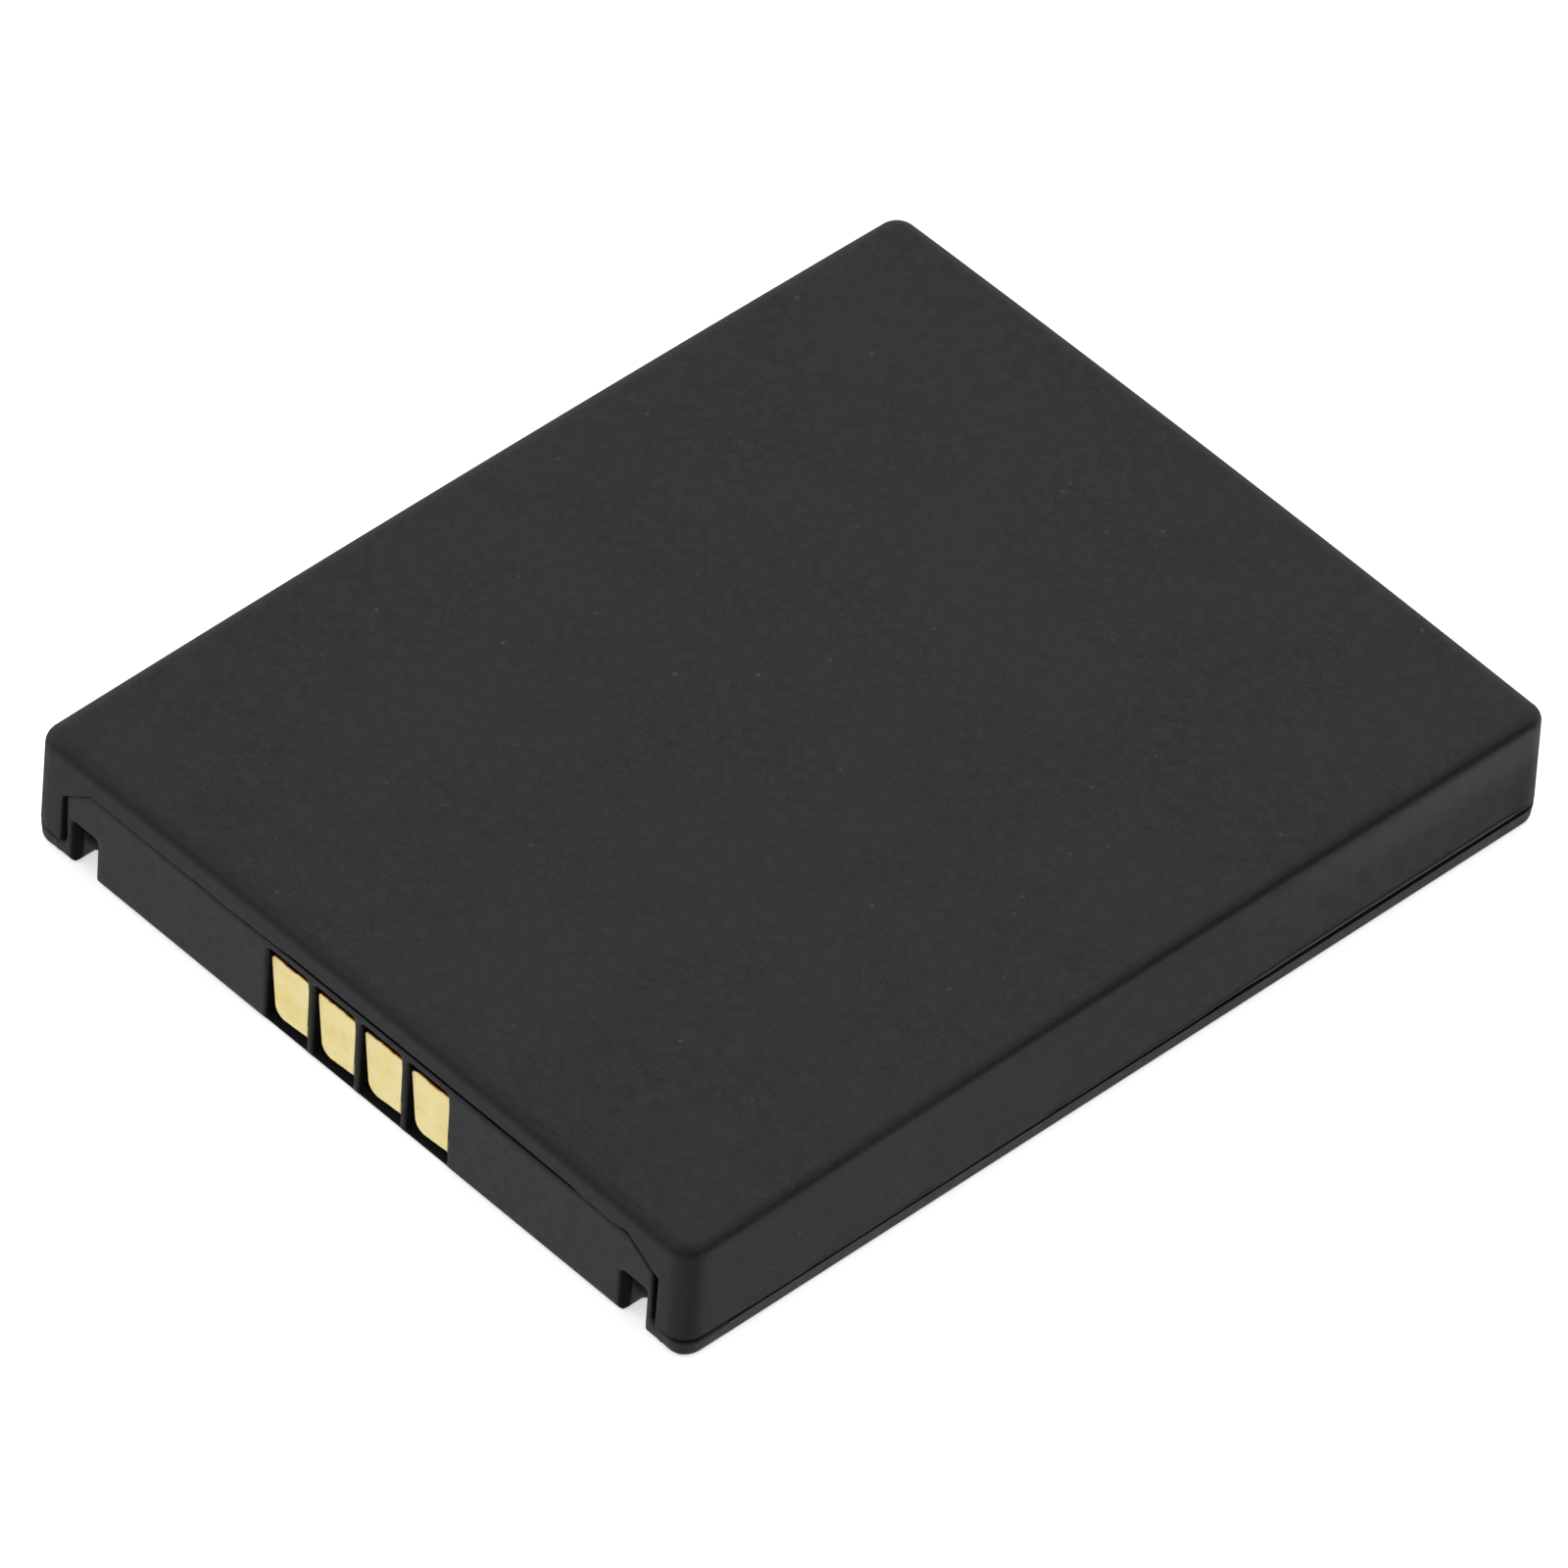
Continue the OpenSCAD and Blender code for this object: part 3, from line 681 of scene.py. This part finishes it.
def plate_object(number):
    """A contact: the CAD solid's outline with rounded, slightly ragged edges."""
    outline, depth, back = plate_outline(f"contact_{number}")
    rings = []
    for i in range(plate_edge_steps + 1):
        t = math.pi / 2 * i / plate_edge_steps
        rings.append((plate_edge_r * (1 - math.sin(t)), depth + plate_edge_r * (1 - math.cos(t))))
    rings.append((0.0, back))
    verts, rims = [], []
    for inset, y in rings:
        for p, way in outline:
            q = p - way * (inset + ragged(p, way, number))
            verts.append(Vector((q.x, y, q.y)))
            rims.append((plate_edge_r - inset) / plate_edge_r)
    n = len(outline)
    faces = [tuple(range(n)), tuple(range(len(verts) - 1, len(verts) - n - 1, -1))]
    for k in range(len(rings) - 1):
        for i in range(n):
            m = (i + 1) % n
            faces.append((k * n + i, k * n + n + i, k * n + n + m, k * n + m))
    obj = mesh_object(f"contact_plate_{number}", verts, faces)
    rim = obj.data.attributes.new("rim", "FLOAT", "POINT")
    upper = obj.data.attributes.new("upper", "FLOAT", "POINT")
    for i in range(len(verts)):
        way = outline[i % n][1]
        rim.data[i].value = rims[i]
        upper.data[i].value = clamp(0.5 + upper_gain * (upper_right * way.x + way.y))
    return obj


# Materials

class Shader:
    """A material's node tree, with short calls to add nodes and to link them."""

    def __init__(self, name, rough, metal=0.0, specular=0.5):
        self.material = bpy.data.materials.new(name)
        self.material.use_nodes = True
        self.tree = self.material.node_tree
        self.bsdf = self.tree.nodes["Principled BSDF"]
        self.bsdf.inputs["Roughness"].default_value = rough
        self.bsdf.inputs["Metallic"].default_value = metal
        self.bsdf.inputs["Specular IOR Level"].default_value = specular
        self.place = self.node("ShaderNodeTexCoord").outputs["Object"]

    def node(self, kind, **settings):
        made = self.tree.nodes.new(kind)
        for key, value in settings.items():
            if key in made.inputs:
                made.inputs[key].default_value = value
            else:
                setattr(made, key, value)
        return made

    def link(self, source, target):
        self.tree.links.new(source, target)

    def noise(self, per_mm, detail=3.0, rough=0.55, stretch=(1, 1, 1)):
        """Noise with so many features to the millimetre, drawn out along an axis by stretch."""
        turned = self.node("ShaderNodeMapping")
        turned.inputs["Scale"].default_value = [per_mm / MM / s for s in stretch]
        self.link(self.place, turned.inputs["Vector"])
        made = self.node("ShaderNodeTexNoise", Scale=1.0, Detail=detail, Roughness=rough)
        self.link(turned.outputs["Vector"], made.inputs["Vector"])
        return made.outputs["Fac"]

    def axis(self, vector, name):
        parts = self.node("ShaderNodeSeparateXYZ")
        self.link(vector, parts.inputs[0])
        return parts.outputs[name]

    def attribute(self, name):
        return self.node("ShaderNodeAttribute", attribute_name=name).outputs["Fac"]

    def specks(self, per_mm, size, edge):
        """Small round specks, one at most to a cell: 1 in a speck and 0 outside it."""
        scaled = self.node("ShaderNodeMapping")
        scaled.inputs["Scale"].default_value = [per_mm / MM] * 3
        self.link(self.place, scaled.inputs["Vector"])
        cell = self.node("ShaderNodeTexVoronoi", Scale=1.0)
        self.link(scaled.outputs["Vector"], cell.inputs["Vector"])
        return self.ramp(cell.outputs["Distance"], size + edge, size, 0.0, 1.0)

    def ramp(self, value, low, high, at_low, at_high):
        """A value carried smoothly from one range to another."""
        made = self.node("ShaderNodeMapRange", interpolation_type="SMOOTHSTEP")
        limits = {"From Min": low, "From Max": high, "To Min": at_low, "To Max": at_high}
        for key, number in limits.items():
            made.inputs[key].default_value = number
        self.link(value, made.inputs["Value"])
        return made.outputs["Result"]

    def zone(self, place, start, full, most=1.0):
        """A zone along an axis, in millimetres: 0 at its start and its most where it is full."""
        return self.ramp(place, start * MM, full * MM, 0.0, most)

    def math(self, operation, a, b):
        made = self.node("ShaderNodeMath", operation=operation)
        for socket, value in zip(made.inputs, (a, b)):
            if isinstance(value, (int, float)):
                socket.default_value = value
            else:
                self.link(value, socket)
        return made.outputs["Value"]

    def blend(self, factor, colour_a, colour_b):
        made = self.node("ShaderNodeMix", data_type="RGBA")
        self.link(factor, made.inputs["Factor"])
        for socket, colour in ((made.inputs[6], colour_a), (made.inputs[7], colour_b)):
            if isinstance(colour, tuple):
                socket.default_value = (*colour, 1.0)
            else:
                self.link(colour, socket)
        return made.outputs[2]

    def colour(self, source):
        self.link(source, self.bsdf.inputs["Base Color"])

    def roughness(self, source):
        self.link(source, self.bsdf.inputs["Roughness"])

    def bump(self, height, distance_mm, strength=1.0):
        made = self.node("ShaderNodeBump", Strength=strength, Distance=distance_mm * MM)
        self.link(height, made.inputs["Height"])
        self.link(made.outputs["Normal"], self.bsdf.inputs["Normal"])


def grey(level):
    return (level, level, level * 1.02)


# Zones of the moulded plastic, each with its start and where it is full: the right face, its back
# part in painted shade and a band of painted sheen there, then painted light on the front edge and a
# painted highlight on the panel's crest, by depth behind the contact end and by height under the
# crest. The crest's painted highlight is strongest in its middle.
right_face_x = (17.2, 17.4)
right_shade_y = (-12, 4)
sheen_y = (4, 18)
sheen_z = (2.6, 4.4)
sheen_top_z = (5.2, 4.8)
front_light_depth = (0.45, 0.2)
crest_depth = (0.5, 0.3)
crest_under = (0.15, 0.06)
crest_middle_x = (3, 7)
crest_end_share = 0.3
right_shade_share = 0.6

# Their greys: of the specks, of the painted shade and the painted sheen on the right face, of the
# painted highlight on the lip and the crest, and of the painted shade in recesses
speck_grey = 0.07
right_shade_grey = 0.006
sheen_grey = 0.035
highlight_grey = 0.075
recess_grey = 0.002


def moulded_plastic(name, dark, light, rough, shine, grain, speckle, crest_highlight):
    """Black plastic: fine moulded grain, smoother on upright walls, small pale specks, and painted
    light and shade in zones.
    """
    s = Shader(name, rough, specular=shine)
    fine = s.noise(9.0, detail=2.0)
    slow = s.noise(0.16, detail=3.0)
    middle = s.noise(2.2, detail=4.0)
    upwards = s.axis(s.node("ShaderNodeNewGeometry").outputs["Normal"], "Z")
    flat = s.ramp(upwards, 0.5, 0.95, 0.35, 1.0)
    tone = s.math("ADD", s.math("MULTIPLY", fine, 0.5), s.math("MULTIPLY", middle, 0.5))
    spread_out = s.math("MULTIPLY", s.math("SUBTRACT", tone, 0.5), flat)
    body = s.blend(s.ramp(s.math("ADD", spread_out, 0.5), 0.33, 0.67, 0.0, 1.0), dark, light)
    broad = s.blend(s.ramp(slow, 0.35, 0.7, 0.0, 0.3), body, light)
    specks = s.specks(1.1, 0.05, 0.09)
    speck_share = s.math("MULTIPLY", specks, s.ramp(s.noise(0.7), 0.52, 0.64, 0.0, speckle))
    shown = s.blend(speck_share, broad, grey(speck_grey))
    x, y, z = (s.axis(s.place, axis) for axis in "XYZ")
    on_right = s.zone(x, *right_face_x)
    # Painted shade on the back part of the right face
    in_shade = s.math("MULTIPLY", on_right, s.zone(y, *right_shade_y, right_shade_share))
    shown = s.blend(in_shade, shown, grey(right_shade_grey))
    # A band of painted sheen high on the back part of the right face
    painted_sheen = s.math("MULTIPLY", on_right, s.zone(y, *sheen_y))
    painted_sheen = s.math("MULTIPLY", painted_sheen, s.zone(z, *sheen_z))
    painted_sheen = s.math("MULTIPLY", painted_sheen, s.zone(z, *sheen_top_z))
    shown = s.blend(painted_sheen, shown, grey(sheen_grey))
    # Painted light on the front edge, in the material's light grey
    shown = s.blend(s.zone(y, *(depth - half_l for depth in front_light_depth)), shown, light)
    # Painted highlight along the panel's crest, strongest in its middle
    crest = s.zone(z, *(panel_h - under for under in crest_under), crest_highlight)
    middle_x = [place * MM for place in crest_middle_x]
    crest_end = s.ramp(s.math("ABSOLUTE", x, 0.0), *middle_x, 1.0, crest_end_share)
    crest = s.math("MULTIPLY", crest, crest_end)
    crest = s.math("MULTIPLY", crest, s.zone(y, *(depth - half_l for depth in crest_depth)))
    # The lip's and the crest's painted highlights
    shown = s.blend(s.math("MAXIMUM", s.attribute("wear_and_highlight"), crest), shown, grey(highlight_grey))
    # Painted shade in the tray's recesses
    recess = s.attribute("recess")
    s.colour(s.blend(recess, shown, grey(recess_grey)))
    dull = s.ramp(middle, 0.3, 0.7, rough - 0.04, rough + 0.05)
    s.roughness(s.math("MAXIMUM", dull, s.math("MULTIPLY", recess, 0.8)))
    s.bump(s.math("MULTIPLY", flat, s.math("ADD", fine, s.math("MULTIPLY", middle, 0.6))), grain)
    return s.material


def plated(name, base, wear_and_highlight, rough, brushed=(1, 1, 1)):
    """Rolled metal: faint brush lines, slow tarnish and tiny pits."""
    s = Shader(name, rough, metal=1.0)
    lines = s.noise(14.0, detail=2.0, stretch=brushed)
    tarnish = s.noise(0.9, detail=4.0)
    pits = s.specks(3.0, 0.04, 0.08)
    surface = s.blend(s.ramp(tarnish, 0.4, 0.75, 0.0, 0.8), base, wear_and_highlight)
    s.colour(s.blend(s.math("MULTIPLY", pits, 0.5), surface, wear_and_highlight))
    s.roughness(s.ramp(tarnish, 0.3, 0.7, rough - 0.04, rough + 0.08))
    s.bump(lines, 0.004)
    return s.material


def contact_gold():
    """Gold plating: fine grain, faint clouds, few pits, a painted highlight on the rim, and painted
    shade where the rim faces up and right.
    """
    base, cloud, pit = (1.0, 0.87, 0.44), (0.94, 0.77, 0.3), (0.5, 0.36, 0.14)
    rim_highlight, edge_shade = (1.0, 0.95, 0.68), (0.42, 0.17, 0.045)
    s = Shader("contact_gold", 0.34, metal=1.0)
    fine = s.noise(11.0, detail=3.0)
    surface = s.blend(s.ramp(s.noise(1.1, detail=3.0), 0.35, 0.75, 0.0, 1.0), base, cloud)
    grained = s.blend(s.ramp(fine, 0.45, 0.8, 0.0, 0.5), surface, cloud)
    specks = s.specks(1.6, 0.045, 0.05)
    pits = s.math("MULTIPLY", specks, s.ramp(s.noise(0.8), 0.5, 0.6, 0.0, 0.6))
    face = s.blend(pits, grained, pit)
    # The rim: a painted highlight, turning to painted shade where it faces up and right
    edge = s.blend(s.attribute("upper"), rim_highlight, edge_shade)
    s.colour(s.blend(s.ramp(s.attribute("rim"), 0.35, 0.8, 0.0, 1.0), face, edge))
    s.roughness(s.ramp(fine, 0.3, 0.7, 0.3, 0.4))
    s.bump(fine, 0.005)
    return s.material


def soft_stuff(name, dark, light, rough, per_mm, depth, metal=0.0):
    """Board, card, film, foam and sintered bodies: a mottled colour with its own grain."""
    s = Shader(name, rough, metal=metal)
    grain = s.noise(per_mm, detail=4.0)
    cloud = s.noise(per_mm / 8, detail=2.0)
    mixed = s.math("ADD", s.math("MULTIPLY", grain, 0.6), s.math("MULTIPLY", cloud, 0.4))
    s.colour(s.blend(s.ramp(mixed, 0.3, 0.7, 0.0, 1.0), dark, light))
    s.roughness(s.ramp(grain, 0.3, 0.7, rough - 0.05, rough + 0.05))
    s.bump(grain, depth)
    return s.material


materials = {
    "cover_plastic": moulded_plastic(
        "cover_plastic", grey(0.0065), grey(0.0205), 0.43, 0.155, 0.018, 0.6, 0.0),
    "tray_plastic": moulded_plastic(
        "tray_plastic", grey(0.0155), grey(0.0225), 0.45, 0.18, 0.006, 0.25, 0.8),
    "contact_gold": contact_gold(),
    "board_laminate": soft_stuff(
        "board_laminate", (0.012, 0.07, 0.035), (0.02, 0.1, 0.055), 0.35, 4, 0.006),
    "chip_epoxy": soft_stuff("chip_epoxy", grey(0.012), grey(0.022), 0.5, 12, 0.006),
    "resistor_body": soft_stuff("resistor_body", grey(0.022), grey(0.04), 0.35, 10, 0.004),
    "thermistor_body": soft_stuff(
        "thermistor_body", (0.12, 0.05, 0.03), (0.2, 0.09, 0.05), 0.5, 10, 0.006),
    "capacitor_body": soft_stuff(
        "capacitor_body", (0.32, 0.2, 0.09), (0.43, 0.28, 0.13), 0.45, 10, 0.006),
    "nickel": plated("nickel", (0.60, 0.58, 0.54), (0.48, 0.46, 0.42), 0.34, (8, 1, 1)),
    "can_aluminium": plated(
        "can_aluminium", (0.62, 0.63, 0.65), (0.52, 0.53, 0.55), 0.4, (1, 10, 1)),
    "gasket_plastic": soft_stuff(
        "gasket_plastic", (0.02, 0.09, 0.3), (0.04, 0.13, 0.4), 0.4, 6, 0.004),
    "card_paper": soft_stuff("card_paper", (0.74, 0.7, 0.56), (0.84, 0.8, 0.67), 0.8, 7, 0.01),
    "fuse_film": soft_stuff("fuse_film", (0.68, 0.38, 0.02), (0.8, 0.5, 0.05), 0.3, 5, 0.004),
    "adhesive_film": soft_stuff(
        "adhesive_film", (0.78, 0.73, 0.6), (0.87, 0.83, 0.72), 0.6, 6, 0.006),
    "foam": soft_stuff("foam", grey(0.05), grey(0.09), 0.9, 5, 0.04),
}


# Angles over which an edge of a modelled piece shows as a crease, in degrees
cover_crease = 30
tray_crease = 40
plate_crease = 60


def dress(obj, slot, stands_for):
    """Gives a piece its material and its body, and hides the CAD node that it stands for."""
    obj.data.materials.clear()
    obj.data.materials.append(materials[slot])
    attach(obj, "root")
    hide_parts(stands_for)


# The pieces

def build_pieces():
    verts, faces, wear_and_highlight = cover_mesh()
    cover = mesh_object("cover_shell", verts, faces)
    # The lip's painted highlight, carried to the plastic as an attribute
    lip = cover.data.attributes.new("wear_and_highlight", "FLOAT", "POINT")
    for value, share in zip(lip.data, wear_and_highlight):
        value.value = share
    smooth(cover, cover_crease)
    dress(cover, "cover_plastic", "top_cover")

    tray = tray_object()
    smooth(tray, tray_crease)
    dress(tray, "tray_plastic", "base_tray")

    for number in range(1, 5):
        name = f"contact_{number}"
        plate = plate_object(number)
        smooth(plate, plate_crease)
        dress(plate, "contact_gold", name)

    slots = {part["node"]: part["material_slot"] for part in frame["record"]["subparts"]}
    for name, node in nodes.items():
        if not node.hide_render:
            node.data.materials.clear()
            node.data.materials.append(materials[slots[name]])


# Studio

floor_half_m = 3.0
floor_drop = 0.01
floor_glow = 0.6


def make_floor():
    """White paper, with a glow for the camera only, and left out of what mirrors show."""
    mesh = bpy.data.meshes.new("floor")
    h, z = floor_half_m, -floor_drop * MM
    mesh.from_pydata([(-h, -h, z), (h, -h, z), (h, h, z), (-h, h, z)], [], [(0, 1, 2, 3)])
    floor = bpy.data.objects.new("floor", mesh)
    bpy.context.scene.collection.objects.link(floor)
    s = Shader("floor_paper", 0.9)
    s.colour(s.blend(s.noise(0.02), (0.86, 0.86, 0.86), (0.9, 0.9, 0.9)))
    path = s.node("ShaderNodeLightPath").outputs
    s.bsdf.inputs["Emission Color"].default_value = (1, 1, 1, 1)
    glow = s.math("MULTIPLY", path["Is Camera Ray"], floor_glow)
    s.link(glow, s.bsdf.inputs["Emission Strength"])
    mirrored = s.math("MAXIMUM", path["Is Glossy Ray"], path["Is Transmission Ray"])
    open_to = s.node("ShaderNodeMixShader")
    s.link(mirrored, open_to.inputs[0])
    s.link(s.bsdf.outputs[0], open_to.inputs[1])
    s.link(s.node("ShaderNodeBsdfTransparent").outputs[0], open_to.inputs[2])
    s.link(open_to.outputs[0], s.tree.nodes["Material Output"].inputs["Surface"])
    floor.data.materials.append(s.material)


def make_world():
    """A white room with an unlit side: a band at the horizon, and the table there and opposite."""
    world = bpy.data.worlds.new("studio")
    bpy.context.scene.world = world
    world.use_nodes = True
    tree = world.node_tree

    def put(value, socket):
        if isinstance(value, (int, float)):
            socket.default_value = value
        else:
            tree.links.new(value, socket)

    def calc(operation, a, b):
        made = tree.nodes.new("ShaderNodeMath")
        made.operation = operation
        put(a, made.inputs[0])
        put(b, made.inputs[1])
        return made.outputs[0]

    def ease(value, low, high):
        """Smooth step from 0 at one value to 1 at another."""
        made = tree.nodes.new("ShaderNodeMapRange")
        made.interpolation_type = "SMOOTHSTEP"
        put(value, made.inputs["Value"])
        made.inputs["From Min"].default_value = low
        made.inputs["From Max"].default_value = high
        return made.outputs["Result"]

    parts = tree.nodes.new("ShaderNodeSeparateXYZ")
    tree.links.new(tree.nodes.new("ShaderNodeTexCoord").outputs["Generated"], parts.inputs[0])
    x, y, z = parts.outputs
    way = aim(unlit_azimuth, 0)
    across = calc("SQRT", calc("SUBTRACT", just_over_one, calc("MULTIPLY", z, z)), 0.0)
    towards = calc("ADD", calc("MULTIPLY", x, way.x), calc("MULTIPLY", y, way.y))
    near = calc("DIVIDE", towards, across)
    beside = ease(near, *band_near)
    band = calc("MULTIPLY", beside, calc("MULTIPLY", ease(z, *band_top), ease(z, *band_foot)))
    far = calc("MULTIPLY", near, -1.0)
    sides = calc("MAXIMUM", calc("MULTIPLY", ease(near, *table_near), near_share),
                 calc("MULTIPLY", ease(far, *table_near), far_share))
    table = calc("MULTIPLY", sides, ease(z, *table_top))
    unlit = calc("MULTIPLY", calc("MAXIMUM", band, table), 1 - unlit_level)
    level = calc("SUBTRACT", 1.0, unlit)
    path = tree.nodes.new("ShaderNodeLightPath").outputs
    mirrored = calc("MAXIMUM", path["Is Glossy Ray"], path["Is Transmission Ray"])
    dimmer = calc("MULTIPLY", ease(z, *table_line), 1 - table_level)
    level = calc("MULTIPLY", level, calc("SUBTRACT", 1.0, dimmer))
    in_mirror = calc("MULTIPLY", mirrored, 1 - room_light)
    room = calc("MULTIPLY", level, calc("ADD", room_light, in_mirror))
    seen = path["Is Camera Ray"]
    strength = calc("ADD", seen, calc("MULTIPLY", room, calc("SUBTRACT", 1.0, seen)))
    put(strength, tree.nodes["Background"].inputs["Strength"])
    tree.nodes["Background"].inputs["Color"].default_value = (1, 1, 1, 1)


# The unlit side: how far it reaches, as cosines of the azimuth from its middle and as heights.
# Under the table's line the room is a little dimmer, and only mirrors show it at full strength.
unlit_azimuth = 50
unlit_level = 0.04
band_near = (-0.1, 0.31)
band_top = (0.55, 0.35)
band_foot = (-0.25, -0.05)
table_near = (0.35, 0.85)
near_share = 0.18
far_share = 0.6
table_level = 0.86
table_top = (0.0, -0.15)
table_line = (0.05, -0.05)
room_light = 0.7
just_over_one = 1.0001

# Softboxes: name, azimuth, elevation, distance in metres, width, height, power in watts
softboxes = [
    ("top_softbox", 224, 75, 1.6, 1.8, 1.8, 9),
    ("left_softbox", 300, 30, 1.6, 1.2, 1.2, 2.5),
    ("right_softbox", 148, 30, 1.6, 1.2, 1.2, 2.5),
]


def make_lamps():
    for name, azimuth, elevation, distance, width, height, power in softboxes:
        data = bpy.data.lights.new(name, "AREA")
        data.shape = "RECTANGLE"
        data.size, data.size_y = width, height
        data.energy = power
        lamp = bpy.data.objects.new(name, data)
        way = aim(azimuth, elevation)
        lamp.location = way * distance
        lamp.rotation_euler = way.to_track_quat("Z", "Y").to_euler()
        bpy.context.scene.collection.objects.link(lamp)


make_camera()
build_pieces()
make_floor()
make_world()
make_lamps()
bpy.context.scene.view_settings.view_transform = "Standard"
